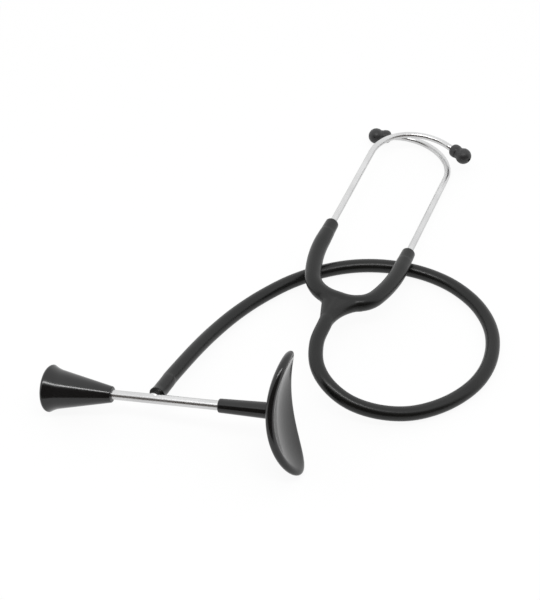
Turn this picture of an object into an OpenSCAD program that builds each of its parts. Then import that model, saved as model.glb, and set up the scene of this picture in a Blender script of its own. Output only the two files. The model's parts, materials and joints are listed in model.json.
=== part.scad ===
// Fetal stethoscope: a horn and a forehead rest on one sound tube, with a headset on a Y of soft tubing.
// Millimetres, +Z up. It lies on Z = 0 and the sound tube heads along +X, from the horn to the rest.

/* [Horn] */
// Outer diameter of the horn across its lip
horn_mouth_d = 31.5; // [27:0.5:38]
// Diameter of the straight cone if it were carried on to the mouth
horn_cone_d = 29.4; // [24:0.2:30]
// Outer diameter of the horn at its neck
horn_neck_d = 11; // [9:0.2:12]
// Length of the horn along its axis
horn_len = 45; // [36:1:60]
// Length of the flare behind the lip
horn_flare_len = 9; // [6:0.5:14]
// Radius of the rolled lip
horn_lip_r = 2.2; // [1.2:0.1:2.6]
// Depth of the flat ring on the lip, which meets the skin
horn_lip_flat = 0.3; // [0.2:0.05:0.6]
// Depth of the socket in the neck that holds the sound tube
horn_socket = 17; // [10:1:22]

/* [Sound tube] */
// Outer diameter of the sound tube
sound_tube_d = 6.4; // [5.6:0.1:7.2]
// Wall of the sound tube
sound_tube_wall = 0.8; // [0.5:0.1:1.2]
// Length of sound tube that shows between the horn and the rest
sound_tube_show = 72.5; // [50:0.5:100]

/* [Branch] */
// Distance from the horn's neck to the branch
branch_at = 28.5; // [18:0.5:40]
// Lean of the branch towards the rest
branch_lean = 6; // [0:1:20]
// Droop of the branch below level
branch_droop = 17; // [0:1:30]
// Outer diameter of the spigot
spigot_d = 5.2; // [4.4:0.1:5.8]
// Wall of the spigot
spigot_wall = 0.7; // [0.4:0.1:1]
// Length of the spigot inside the tubing
spigot_grip = 16; // [10:1:24]
// Diameter of the brazed collar at the foot of the spigot
braze_d = 8; // [6.5:0.1:9]
// Height of the brazed collar above the sound tube
braze_h = 1.6; // [1:0.1:3]

/* [Forehead rest] */
// Length of the rest from tip to tip
rest_len = 85; // [70:1:110]
// Width of the rest
rest_w = 51; // [36:1:56]
// Depth of the rest's curve along its length
rest_sag = 15; // [10:0.5:24]
// Depth of the hollow across the rest
rest_dish = 4; // [0:0.1:5]
// Thickness of the rest
rest_thick = 5.4; // [3.6:0.1:6]
// Angle that the rest leans over on the sound tube
rest_lean = 28; // [0:1:40]
// Angle that the rest slants from square to the sound tube
rest_slant = 5; // [0:0.5:8]
// Distance of the rest's middle below the sound tube's axis
rest_offset = 1.6; // [0:0.2:5]
// Length of the socket behind the rest
socket_len = 34; // [26:0.5:44]
// Outer diameter at the socket's free end
socket_tip_d = 9.2; // [8:0.1:10]
// Outer diameter at the socket's root
socket_root_d = 10.8; // [8.6:0.1:12]
// Depth of the socket's bore
socket_bore = 22; // [14:1:25]
// Radius of the fillet between the socket and the rest
socket_fillet = 3; // [1:0.5:5]

/* [Tubing] */
// Outer diameter of the soft tubing
tubing_d = 10; // [8.5:0.1:10.5]
// Length of the yoke's stem, from the tubing to the crotch
stem_len = 20; // [16:1:28]
// Diameter of the stem where the arms part
stem_d = 10.8; // [9.6:0.1:11.4]
// Radius of the fillet from the stem into each arm
crotch_r = 30; // [10:0.5:34]

/* [Arms] */
// Outer diameter of the arms
arm_d = 11.6; // [10:0.1:12.4]
// Outer diameter at the arms' free ends
arm_end_d = 10; // [8.4:0.1:10.8]
// Half the straight length in the middle of the yoke
arm_half = 3.5; // [3:0.5:9]
// Radius of each arm's tight bend
arm_bend_r = 21.5; // [18:0.5:32]
// Angle of each arm's tight bend
arm_bend_a = 70; // [66:1:84]
// Radius of each arm's long sweep after the bend
arm_sweep_r = 105; // [90:5:220]
// Length of the straight end of each arm
arm_straight = 21; // [18:1:34]
// Angle along the bend where an arm starts to flex
arm_split_a = 35; // [22:1:42]

/* [Ear tubes] */
// Outer diameter of the ear tubes
ear_tube_d = 4.8; // [4.2:0.1:5.6]
// Wall of the ear tubes
ear_tube_wall = 0.6; // [0.4:0.05:0.8]
// Length of ear tube inside its arm
ear_grip = 15; // [10:1:24]
// Straight length of ear tube above its arm
ear_straight = 93; // [70:1:120]
// Radius of the hook at the top of each ear tube
ear_hook_r = 37; // [28:0.5:42]
// Angle of the hook
ear_hook_a = 113; // [100:1:125]
// Straight length from the hook to the ear tip
ear_end = 9; // [8:0.5:18]

// How much further the right ear tube stands out of its arm than the middle of the two
ear_stagger = 4.5; // [0:0.5:5]

/* [Ear tips] */
// Length of an ear tip
tip_len = 18; // [15:0.5:22]
// Diameter of the dome
tip_dome_d = 12.4; // [10:0.2:14]
// Diameter of the collar
tip_collar_d = 10.4; // [8:0.1:11]
// Length of the collar
tip_collar_len = 6.4; // [5:0.1:7.5]
// Diameter of the waist between the collar and the dome
tip_waist_d = 9.2; // [7:0.1:10]
// Diameter of the sound hole
tip_hole_d = 2.6; // [1.8:0.1:3.2]
// Depth of the collar's seat for the ear tube
tip_seat = 4; // [2:0.5:5]
// Diameter of the nipple inside the ear tip
nipple_d = 4.2; // [3.8:0.1:4.8]
// Length of the nipple inside the ear tip
nipple_len = 6; // [4:0.5:7]
// Length of the nipple's stub inside the ear tube
nipple_stub = 7; // [4:0.5:10]
// Diameter of the hole through the nipple
nipple_hole_d = 2; // [1.4:0.1:2.4]

/* [Spring] */
// Thickness of the leaf spring
spring_t = 0.5; // [0.3:0.05:0.8]
// Length of the leaf spring inside each ear tube
spring_grip = 10; // [6:1:14]

/* [Placing] */
// Place of the horn's mouth along the sound tube's heading
horn_x = -120.5; // [-140:0.5:-100]
// Place of the horn's mouth across the heading
horn_y = -144.5; // [-165:0.5:-130]
// Place of the yoke's middle along the heading
yoke_x = 51; // [40:1:64]
// Place of the yoke's middle across the heading
yoke_y = -31.5; // [-44:0.5:-16]
// Turn of the headset about the vertical
headset_turn = -9; // [-20:1:0]
// Roll of the headset, with the left arm up
headset_roll = 3; // [0:0.5:6]

/* [Hidden] */
$fn = 96;

// Clearances: a push fit that stays put, a fit that turns by hand, and the gap between passing pieces
push_fit = 0.02;
turn_fit = 0.05;
pass_gap = 0.4;
end_gap = 0.3;

// Neighbouring runs of one bent piece lap a little and every other run is a hair slimmer, so that they fuse
join_lap = 0.1;
join_step = 0.04;

GLOSS_BLACK = [0.07, 0.07, 0.07];
SOFT_BLACK = [0.16, 0.16, 0.16];
TIP_BLACK = [0.11, 0.11, 0.12];
CHROME = [0.82, 0.83, 0.84];
STEEL = [0.6, 0.62, 0.64];
NICKEL = [0.78, 0.76, 0.7];

// Stations along the sound tube, from the mouth of the horn
lip_s = horn_lip_r - horn_lip_flat;
bell_s = horn_len - horn_socket;
branch_s = horn_len + branch_at;
socket_s = horn_len + sound_tube_show;
rest_s = socket_s + socket_len;
tube_end_s = socket_s + socket_bore - end_gap;
sound_tube_r = sound_tube_d / 2;
sound_bore_r = sound_tube_r - sound_tube_wall;

// The rest's back is an arc through its two tips
rest_r = (pow(rest_len / 2, 2) + pow(rest_sag, 2)) / (2 * rest_sag);
rest_half_a = asin(rest_len / 2 / rest_r);
rest_rings = 36;
rest_face_steps = 8;
rest_edge_steps = 6;

// One section of the rest is a slab with round edges: [across, towards the forehead]
function rest_section(half_w, half_t) = let (flat = half_w - half_t) concat(
    [for (i = [0 : rest_face_steps - 1]) [flat * (2 * i / rest_face_steps - 1), half_t]],
    [for (i = [0 : rest_edge_steps - 1]) let (a = 90 - 180 * i / rest_edge_steps)
        [flat + half_t * cos(a), half_t * sin(a)]],
    [for (i = [0 : rest_face_steps - 1]) [flat * (1 - 2 * i / rest_face_steps), -half_t]],
    [for (i = [0 : rest_edge_steps - 1]) let (a = 270 - 180 * i / rest_edge_steps)
        [-flat + half_t * cos(a), half_t * sin(a)]]);
rest_section_points = 2 * (rest_face_steps + rest_edge_steps);

// A point of the rest in its own frame: +X towards the upper tip, +Z along the sound tube
function rest_point(arc_a, across, depth) =
    let (r = rest_r - rest_thick / 2 - depth - rest_dish * pow(2 * across / rest_w, 2),
        x = r * sin(arc_a) - rest_offset, z = rest_r - r * cos(arc_a))
    [x * cos(rest_slant) + z * sin(rest_slant), across, z * cos(rest_slant) - x * sin(rest_slant)];
function rest_ring(i) = let (u = -90 + 180 * i / rest_rings, half_w = rest_w / 2 * cos(u))
    [for (p = rest_section(half_w, min(rest_thick / 2, half_w * 0.8)))
        rest_point(rest_half_a * sin(u), p[0], p[1])];
rest_points = concat([for (i = [1 : rest_rings - 1]) each rest_ring(i)],
    [rest_point(-rest_half_a, 0, 0), rest_point(rest_half_a, 0, 0)]);

// The horn's lip and the lowest point of the rest both touch the floor, which sets the tube's tilt
first_tilt = 8;
function rest_drop(p) = abs(p[1]) * sin(rest_lean) - p[0] * cos(rest_lean);
rest_drops = [for (p = rest_points) rest_drop(p) * cos(first_tilt) - p[2] * sin(first_tilt)];
rest_low = rest_points[search(max(rest_drops), rest_drops)[0]];
lip_drop = horn_mouth_d / 2 - horn_lip_r;
low_rise = rest_drop(rest_low) - lip_drop;
low_run = rest_s + rest_low[2] - lip_s;
tilt = acos(horn_lip_r / norm([low_rise, low_run])) - atan2(low_run, low_rise);
mouth_z = lip_drop * cos(tilt) - lip_s * sin(tilt) + horn_lip_r;

// Directions of the sound tube: along it, up from it, and away to its far side
ALONG = [cos(tilt), 0, sin(tilt)];
UP = [-sin(tilt), 0, cos(tilt)];
FAR = [0, 1, 0];
branch_foot = [horn_x, horn_y, mouth_z] + branch_s * ALONG;
branch_dir = sin(branch_lean) * ALONG
    + cos(branch_lean) * (cos(branch_droop) * FAR - sin(branch_droop) * UP);
sleeve_at = sound_tube_r + braze_h + end_gap;
spigot_end = sleeve_at + spigot_grip;
tubing_bore = spigot_d + 2 * push_fit;

// One side of the headset in its own plane: +X away from the middle, +Y towards the ear tips
tip_dome_r = tip_dome_d / 2;
arm_bore = ear_tube_d + 2 * turn_fit;
ear_bore = ear_tube_d - 2 * ear_tube_wall;
bend_end = [arm_half + arm_bend_r * sin(arm_bend_a), arm_bend_r * (1 - cos(arm_bend_a))];
sweep_mid = bend_end + arm_sweep_r * [-sin(arm_bend_a), cos(arm_bend_a)];
arm_x = sweep_mid[0] + arm_sweep_r;
arm_end_y = sweep_mid[1] + arm_straight;
ear_foot_y = arm_end_y - min(ear_grip, arm_straight - 1 - ear_stagger);
hook_y = arm_end_y + ear_straight;
hook_end = [ear_hook_r * (cos(ear_hook_a) - 1), ear_hook_r * sin(ear_hook_a)];
hook_dir = [-sin(ear_hook_a), cos(ear_hook_a)];
dome_at = tip_len - tip_dome_r;
dome_mid = [arm_x, hook_y] + hook_end + (ear_end - tip_seat + dome_at) * hook_dir;

// The left side lifts and the right side drops from where the arms part, so that the ear tips pass
split_y = arm_bend_r * (1 - cos(arm_split_a));
split_gap_a = end_gap / arm_bend_r * 180 / PI;
side_lift = asin((tip_dome_d + pass_gap) / 2 / (dome_mid[1] - ear_stagger - split_y));
function right_side(p) = let (y = p[1] - split_y) [p[0], split_y + y * cos(side_lift), -y * sin(side_lift)];
function rolled_z(p) = p[2] * cos(headset_roll) - p[0] * sin(headset_roll);

// The right ear tip lies on the floor and the end of the right arm lies over the tubing
low_tip = right_side(dome_mid + [0, ear_stagger]);
low_arm = right_side([arm_x, arm_end_y]);
low_arm_z = tubing_d + arm_end_d / 2 + pass_gap;
lean_run = low_tip[1] - low_arm[1];
lean_rise = rolled_z(low_arm) - rolled_z(low_tip);
headset_pitch = acos((low_arm_z - tip_dome_r) / norm([lean_rise, lean_run])) - atan2(lean_run, lean_rise);
headset_z = tip_dome_r - low_tip[1] * sin(headset_pitch) - rolled_z(low_tip) * cos(headset_pitch);

// The stem's fillets are arcs that run into the arms' bends, and they start apart inside the stem
crotch_skip_a = 12;
crotch_drop = sqrt(pow(arm_bend_r + crotch_r, 2) - pow(crotch_r - arm_half, 2)) - arm_bend_r;
crotch_a = asin((crotch_r - arm_half) / (arm_bend_r + crotch_r));

// The spring fits in the ear tubes' bores
spring_w = ear_bore - pass_gap;

// The tubing's route: [x, y, lift above lying on the floor]
TUBING_ROUTE = [
    [-36, -88, 7], [-28, -64.5, 3], [-17.5, -43, 1], [-4, -23, 0], [13, -4.5, 0], [33, 10.5, 0],
    [55, 21, 0], [79, 26, 0], [104, 25, 0], [127.5, 17, 0], [147, 1.5, 0], [159, -20, 0],
    [161, -44.5, 0], [154, -67.5, 0], [138.5, -87.5, 0], [118, -102.5, 1.5], [97, -110, 5],
    [76.5, -111, 10], [60, -104.5, 15], [49, -91.5, 18], [45, -74, 20]];
tubing_sides = 12;
tubing_steps = 2;
HEADSET_ALONG = [-sin(headset_turn) * cos(headset_pitch), cos(headset_turn) * cos(headset_pitch),
    sin(headset_pitch)];
stem_end = [yoke_x, yoke_y, headset_z] - stem_len * HEADSET_ALONG;
stem_lead = 6;
tubing_points = concat(
    [for (i = [0 : 3]) branch_foot + (sleeve_at + i * spigot_grip / 2) * branch_dir],
    [for (p = TUBING_ROUTE) [p[0], p[1], p[2] + tubing_d / 2]],
    [stem_end - stem_lead * HEADSET_ALONG, stem_end]);
tubing_last = len(tubing_points) - 1;

// A smooth curve through the route's points, and its heading
function route_point(i) = i < 0 ? 2 * tubing_points[0] - tubing_points[1]
    : i > tubing_last ? 2 * tubing_points[tubing_last] - tubing_points[tubing_last - 1]
    : tubing_points[i];
function curve_point(i, t) = let (a = route_point(i - 1), b = route_point(i),
    c = route_point(i + 1), d = route_point(i + 2))
    (2 * b + (c - a) * t + (2 * a - 5 * b + 4 * c - d) * t * t
        + (3 * b - a - 3 * c + d) * t * t * t) / 2;
tubing_curve = concat([for (i = [0 : tubing_last - 1], j = [0 : tubing_steps - 1])
    curve_point(i, j / tubing_steps)], [tubing_points[tubing_last]]);
tubing_rings = len(tubing_curve);
function unit(v) = v / norm(v);
function curve_heading(i) = i == 0 ? branch_dir : i == tubing_rings - 1 ? HEADSET_ALONG
    : unit(tubing_curve[i + 1] - tubing_curve[i - 1]);
function tubing_ring(i, r) = let (h = curve_heading(i), side = unit(cross(h, [0, 0, 1])),
    top = cross(side, h))
    [for (k = [0 : tubing_sides - 1]) let (a = 360 * (k + 0.5) / tubing_sides)
        tubing_curve[i] + r * (cos(a) * side + sin(a) * top)];

// Triangles that join each ring of points to the next, from one start index
function skin_faces(start, rings, n, flip) = [for (i = [0 : rings - 2], k = [0 : n - 1])
    let (a = start + i * n + k, b = start + i * n + (k + 1) % n)
    each flip ? [[a, a + n, b], [b, a + n, b + n]] : [[a, b, a + n], [b, b + n, a + n]]];
function ring_cap(outer, inner, n, flip) = [for (k = [0 : n - 1]) let (m = (k + 1) % n)
    each flip ? [[outer + k, inner + k, outer + m], [outer + m, inner + k, inner + m]]
        : [[outer + k, outer + m, inner + k], [outer + m, inner + m, inner + k]]];

// Radius of the horn's outside at a station: a cone with a flare that dies away behind the lip
function cone_r(s) = horn_neck_d / 2 + (horn_cone_d - horn_neck_d) / 2 * (1 - s / horn_len);
function horn_r(s) = cone_r(s) + (horn_mouth_d / 2 - cone_r(lip_s))
    * pow((horn_flare_len - s) / (horn_flare_len - lip_s), 2);
horn_steps = 8;
neck_edge = 0.3;

// Places its children on the sound tube: +Z along the tube, +X up, +Y towards the near side
module on_tube(s) {
    translate([horn_x, horn_y, mouth_z] + s * ALONG)
        rotate([0, 90 - tilt, 0]) rotate([0, 0, 180]) children();
}

// Places its children on the branch, with +Z out along it
module on_branch() {
    on_tube(branch_s) rotate([0, 0, -branch_droop]) rotate([90 - branch_lean, 0, 0]) children();
}

// Places its children in the headset: +Y towards the ear tips, +X to the right arm
module on_headset() {
    translate([yoke_x, yoke_y, headset_z]) rotate([headset_pitch, 0, headset_turn])
        rotate([0, headset_roll, 0]) children();
}

// Lifts or drops its children with one side of the headset: 1 is the right side and -1 the left
module lifted(side) {
    translate([0, split_y, 0]) rotate([-side * side_lift, 0, 0]) translate([0, -split_y, 0]) children();
}

// Places its children in the plane of one side of the headset
module on_side(side) {
    on_headset() mirror([side < 0 ? 1 : 0, 0, 0]) lifted(side) children();
}

// Places its children in an ear tube's frame: +Y up its straight part
module on_ear_tube(side) {
    on_side(side) translate([arm_x, side * ear_stagger, 0]) children();
}

// Places its children at the end of an ear tube, with +Z out of the tube
module on_ear_end(side) {
    on_ear_tube(side) translate([hook_end[0], hook_y + hook_end[1], 0] + ear_end * [each hook_dir, 0])
        rotate([0, 0, ear_hook_a]) rotate([-90, 0, 0]) children();
}

// Sweeps a flat section along an arm's tight bend, between two angles
module along_bend(from_a, to_a) {
    translate([arm_half, arm_bend_r, 0]) rotate([0, 0, from_a - 90])
        rotate_extrude(angle = to_a - from_a) translate([arm_bend_r, 0]) children();
}

// Sweeps a flat section along an arm's long sweep, with a lap at each end
module along_sweep() {
    lap_a = join_lap / arm_sweep_r * 180 / PI;
    translate([each sweep_mid, 0]) rotate([0, 0, arm_bend_a - 90 - lap_a])
        rotate_extrude(angle = 90 - arm_bend_a + 2 * lap_a) translate([arm_sweep_r, 0]) children();
}

// Sweeps a flat section from one place to another along a straight arm or ear tube at x
module along_straight(x, from_y, to_y) {
    translate([x, from_y, 0]) rotate([-90, 0, 0]) linear_extrude(to_y - from_y) children();
}

module horn() {
    bell_r = horn_mouth_d / 2 - 2 * horn_lip_r;
    socket_r = sound_tube_r + push_fit;
    neck_r = horn_neck_d / 2;
    color(GLOSS_BLACK) on_tube(0) rotate_extrude() intersection() {
        square([horn_mouth_d, horn_len]);
        union() {
            polygon(concat(
                [[socket_r, horn_len], [socket_r, bell_s], [sound_bore_r, bell_s], [bell_r, lip_s]],
                [for (i = [0 : horn_steps]) let (s = lip_s + (horn_flare_len - lip_s) * i / horn_steps)
                    [horn_r(s), s]],
                [[neck_r, horn_len - neck_edge], [neck_r - neck_edge, horn_len]]));
            translate([horn_mouth_d / 2 - horn_lip_r, lip_s]) circle(horn_lip_r);
        }
    }
}

module sound_tube() {
    start_s = bell_s + end_gap;
    color(CHROME) difference() {
        on_tube(start_s) difference() {
            cylinder(h = tube_end_s - start_s, r = sound_tube_r);
            translate([0, 0, -1]) cylinder(h = tube_end_s - start_s + 2, r = sound_bore_r);
        }
        on_branch() cylinder(h = sound_tube_d, d = spigot_d - 2 * spigot_wall);
    }
}

module branch_spigot() {
    color(CHROME) difference() {
        on_branch() difference() {
            union() {
                cylinder(h = spigot_end, d = spigot_d);
                cylinder(h = sound_tube_r + braze_h, d1 = braze_d, d2 = spigot_d + push_fit);
            }
            translate([0, 0, -1]) cylinder(h = spigot_end + 2, d = spigot_d - 2 * spigot_wall);
        }
        on_tube(bell_s) cylinder(h = tube_end_s - bell_s, r = sound_tube_r + push_fit);
    }
}

module forehead_rest() {
    tip_r = socket_tip_d / 2;
    root_r = socket_root_d / 2;
    fillet_steps = 6;
    root_at = pow(root_r + socket_fillet, 2) / (2 * rest_r);
    first_tip = len(rest_points) - 2;
    last_ring = first_tip - rest_section_points;
    n = rest_section_points;
    color(GLOSS_BLACK) on_tube(rest_s) difference() {
        union() {
            rotate([0, 0, -rest_lean]) polyhedron(points = rest_points, faces = concat(
                skin_faces(0, rest_rings - 1, n, false),
                [for (k = [0 : n - 1]) [first_tip, k, (k + 1) % n]],
                [for (k = [0 : n - 1]) [first_tip + 1, last_ring + (k + 1) % n, last_ring + k]]));
            rotate([0, 0, -rest_lean]) rotate([0, rest_slant, 0]) rotate_extrude() polygon(concat(
                [[0, rest_thick / 2], [0, root_at - socket_fillet]],
                [for (i = [0 : fillet_steps]) let (a = 90 * i / fillet_steps)
                    [root_r - 0.2 + (socket_fillet + 0.2) * (1 - cos(a)), root_at + socket_fillet * (sin(a) - 1)]],
                [[root_r + socket_fillet, rest_thick / 2]]));
            rotate_extrude() union() {
                polygon([[0, rest_thick / 2], [0, -socket_len], [tip_r - 1, -socket_len],
                         [tip_r, 1 - socket_len], [root_r, 0], [root_r, rest_thick / 2]]);
                translate([tip_r - 1, 1 - socket_len]) circle(1);
            }
        }
        translate([0, 0, -socket_len - 1])
            cylinder(h = socket_bore + 1, r = sound_tube_r + turn_fit);
    }
}

module main_tubing() {
    n = tubing_sides;
    inner = tubing_rings * n;
    last = (tubing_rings - 1) * n;
    outer_r = tubing_d / 2;
    inner_r = tubing_bore / 2 / cos(180 / n);
    color(SOFT_BLACK) polyhedron(
        points = concat([for (i = [0 : tubing_rings - 1]) each tubing_ring(i, outer_r)],
            [for (i = [0 : tubing_rings - 1]) each tubing_ring(i, inner_r)]),
        faces = concat(skin_faces(0, tubing_rings, n, false), skin_faces(inner, tubing_rings, n, true),
            ring_cap(0, inner, n, true), ring_cap(last, inner + last, n, false)));
}

module tubing_yoke() {
    stem_r = stem_d / 2;
    color(SOFT_BLACK) on_headset() difference() {
        union() {
            translate([0, -stem_len, 0]) rotate([-90, 0, 0]) rotate_extrude() intersection() {
                square(stem_len);
                union() {
                    polygon([[0, 0], [tubing_d / 2, 0], [stem_r, stem_len - stem_r], [0, stem_len]]);
                    translate([0, stem_len - stem_r]) circle(stem_r);
                }
            }
            rotate([0, 90, 0]) cylinder(h = 2 * (arm_half + join_lap), d = arm_d, center = true);
            for (side = [0, 1]) mirror([side, 0, 0]) {
                along_bend(0, arm_split_a) circle(d = arm_d - join_step);
                translate([crotch_r, -crotch_drop, 0]) rotate([0, 0, 90 + crotch_a])
                    rotate_extrude(angle = 90 - crotch_a - crotch_skip_a)
                        translate([crotch_r, 0]) circle(d = tubing_d);
            }
        }
        translate([0, -stem_len - 1, 0]) rotate([-90, 0, 0]) cylinder(h = stem_len + 1, d = tubing_bore);
        rotate([0, 90, 0]) cylinder(h = 2 * (arm_half + join_lap), d = arm_bore, center = true);
        for (side = [0, 1]) mirror([side, 0, 0])
            along_bend(0, arm_split_a + 1) circle(d = arm_bore - join_step);
    }
}

// One arm of the Y, from where it starts to flex to its round end
module arm_tube(side) {
    foot_r = (arm_d - join_step) / 2;
    end_r = arm_end_d / 2;
    round_r = 1.8;
    color(SOFT_BLACK) on_side(side) difference() {
        union() {
            along_bend(arm_split_a + split_gap_a, arm_bend_a) circle(foot_r);
            along_sweep() circle(d = arm_d);
            translate([arm_x, sweep_mid[1], 0]) rotate([-90, 0, 0]) rotate_extrude() union() {
                polygon([[0, 0], [foot_r, 0], [end_r, arm_straight - round_r],
                         [end_r - round_r, arm_straight], [0, arm_straight]]);
                translate([end_r - round_r, arm_straight - round_r]) circle(round_r);
            }
        }
        along_bend(arm_split_a - 1, arm_bend_a) circle(d = arm_bore - join_step);
        along_sweep() circle(d = arm_bore);
        along_straight(arm_x, sweep_mid[1], arm_end_y + 1) circle(d = arm_bore - join_step);
    }
}

module left_arm_tube() { arm_tube(-1); }
module right_arm_tube() { arm_tube(1); }

// One U of flat steel through the yoke, with its ends inside the ear tubes
module leaf_spring() {
    slim = [join_step, join_step];
    color(STEEL) on_headset() union() {
        rotate([0, 90, 0]) linear_extrude(2 * (arm_half + join_lap), center = true)
            square([spring_w, spring_t], center = true);
        for (side = [-1, 1]) mirror([side < 0 ? 1 : 0, 0, 0]) {
            along_bend(0, arm_split_a + 1) square([spring_t, spring_w] - slim, center = true);
            lifted(side) {
                along_bend(arm_split_a, arm_bend_a) square([spring_t, spring_w], center = true);
                along_sweep() square([spring_t, spring_w] - slim, center = true);
                along_straight(arm_x, sweep_mid[1], ear_foot_y + spring_grip)
                    square([spring_t, spring_w], center = true);
            }
        }
    }
}

// The run of an ear tube from its foot in the arm to its end, for a round bar or bore
module ear_run(d) {
    along_straight(0, ear_foot_y, hook_y + join_lap) circle(d = d);
    translate([-ear_hook_r, hook_y, 0]) rotate_extrude(angle = ear_hook_a)
        translate([ear_hook_r, 0]) circle(d = d - join_step);
    translate([hook_end[0], hook_y + hook_end[1], 0]) rotate([0, 0, ear_hook_a]) rotate([-90, 0, 0])
        translate([0, 0, -join_lap]) cylinder(h = ear_end + join_lap, d = d);
}

module ear_tube(side) {
    color(CHROME) on_ear_tube(side) difference() {
        ear_run(ear_tube_d);
        ear_run(ear_bore);
    }
}

module left_ear_tube() { ear_tube(-1); }
module right_ear_tube() { ear_tube(1); }

// A turned nipple: a stub pressed into the ear tube, and a grip for the ear tip
module tip_nipple(side) {
    color(NICKEL) on_ear_end(side) difference() {
        union() {
            translate([0, 0, -nipple_stub]) cylinder(h = nipple_stub, d = ear_bore - 2 * push_fit);
            cylinder(h = nipple_len, d = nipple_d);
        }
        translate([0, 0, -nipple_stub - 1])
            cylinder(h = nipple_stub + nipple_len + 2, d = nipple_hole_d);
    }
}

module left_tip_nipple() { tip_nipple(-1); }
module right_tip_nipple() { tip_nipple(1); }

// A soft tip: a round collar on the ear tube, a waist and a dome with a sound hole
module eartip(side) {
    edge_r = 1.4;
    collar_r = tip_collar_d / 2;
    color(TIP_BLACK) on_ear_end(side) translate([0, 0, -tip_seat]) difference() {
        rotate_extrude() intersection() {
            square([tip_dome_d, tip_len]);
            union() {
                polygon([[0, 0], [collar_r - edge_r, 0], [collar_r, edge_r],
                         [collar_r, tip_collar_len - edge_r], [collar_r - edge_r, tip_collar_len],
                         [0, tip_collar_len]]);
                for (z = [edge_r, tip_collar_len - edge_r])
                    translate([collar_r - edge_r, z]) circle(edge_r);
                square([tip_waist_d / 2, dome_at]);
                translate([0, dome_at]) circle(tip_dome_r);
            }
        }
        translate([0, 0, -1]) cylinder(h = tip_seat + 1, d = ear_tube_d + 2 * push_fit);
        cylinder(h = tip_seat + nipple_len + end_gap, d = nipple_d + 2 * push_fit);
        cylinder(h = tip_len + 1, d = tip_hole_d);
    }
}

module left_eartip() { eartip(-1); }
module right_eartip() { eartip(1); }

horn();
sound_tube();
branch_spigot();
forehead_rest();
main_tubing();
tubing_yoke();
left_arm_tube();
right_arm_tube();
leaf_spring();
left_ear_tube();
right_ear_tube();
left_tip_nipple();
right_tip_nipple();
left_eartip();
right_eartip();
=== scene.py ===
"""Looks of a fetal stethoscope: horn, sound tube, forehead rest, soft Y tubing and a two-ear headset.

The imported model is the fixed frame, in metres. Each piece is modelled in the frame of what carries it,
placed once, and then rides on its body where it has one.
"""

import json
import math

import bpy
from bpy.props import FloatProperty, FloatVectorProperty, PointerProperty
from mathutils import Matrix, Vector


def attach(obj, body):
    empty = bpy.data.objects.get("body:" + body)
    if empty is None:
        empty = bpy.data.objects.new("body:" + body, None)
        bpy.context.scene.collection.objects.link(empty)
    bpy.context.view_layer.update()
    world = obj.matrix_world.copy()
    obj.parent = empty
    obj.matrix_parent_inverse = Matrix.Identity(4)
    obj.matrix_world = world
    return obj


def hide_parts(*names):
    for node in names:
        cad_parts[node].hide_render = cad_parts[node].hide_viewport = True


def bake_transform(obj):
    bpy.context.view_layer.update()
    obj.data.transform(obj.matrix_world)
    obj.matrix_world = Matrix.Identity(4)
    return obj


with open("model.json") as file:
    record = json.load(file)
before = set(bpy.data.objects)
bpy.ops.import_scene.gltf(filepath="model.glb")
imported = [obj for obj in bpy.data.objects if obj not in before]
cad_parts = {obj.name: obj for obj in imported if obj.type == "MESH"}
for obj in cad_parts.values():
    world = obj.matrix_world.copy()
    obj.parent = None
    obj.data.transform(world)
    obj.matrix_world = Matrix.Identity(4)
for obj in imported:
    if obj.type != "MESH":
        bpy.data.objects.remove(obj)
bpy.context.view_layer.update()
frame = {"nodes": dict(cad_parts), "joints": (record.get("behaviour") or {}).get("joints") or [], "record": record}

bl_info = {
    "name": "Fetal stethoscope",
    "version": (1, 0, 0),
    "blender": (4, 5, 0),
    "location": "3D View > Sidebar > Stethoscope",
    "description": "Models the visible pieces of a fetal stethoscope around its packed frame",
    "category": "Add Mesh",
}

MM = 0.001
QUARTER = math.pi / 2
JOINTS = {joint["name"]: joint for joint in frame["joints"]}
MOUNTS = {mount["name"]: mount for mount in frame["record"]["mounts"]}
SIGNS = {"right": 1, "left": -1}


def length(name, description, millimetres):
    """A length that a user can change, given in millimetres and kept in metres."""
    return FloatProperty(name=name, description=description, default=millimetres * MM,
                         min=0.0, precision=5, unit="LENGTH", subtype="DISTANCE")


def angle(name, description, degrees):
    """An angle that a user can change, given in degrees."""
    return FloatProperty(name=name, description=description, default=math.radians(degrees),
                         unit="ROTATION", subtype="ANGLE")


def colour(name, description, value):
    """A colour that a user can change."""
    return FloatVectorProperty(name=name, description=description, default=(*value, 1.0),
                               size=4, min=0.0, max=1.0, subtype="COLOR")


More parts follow.
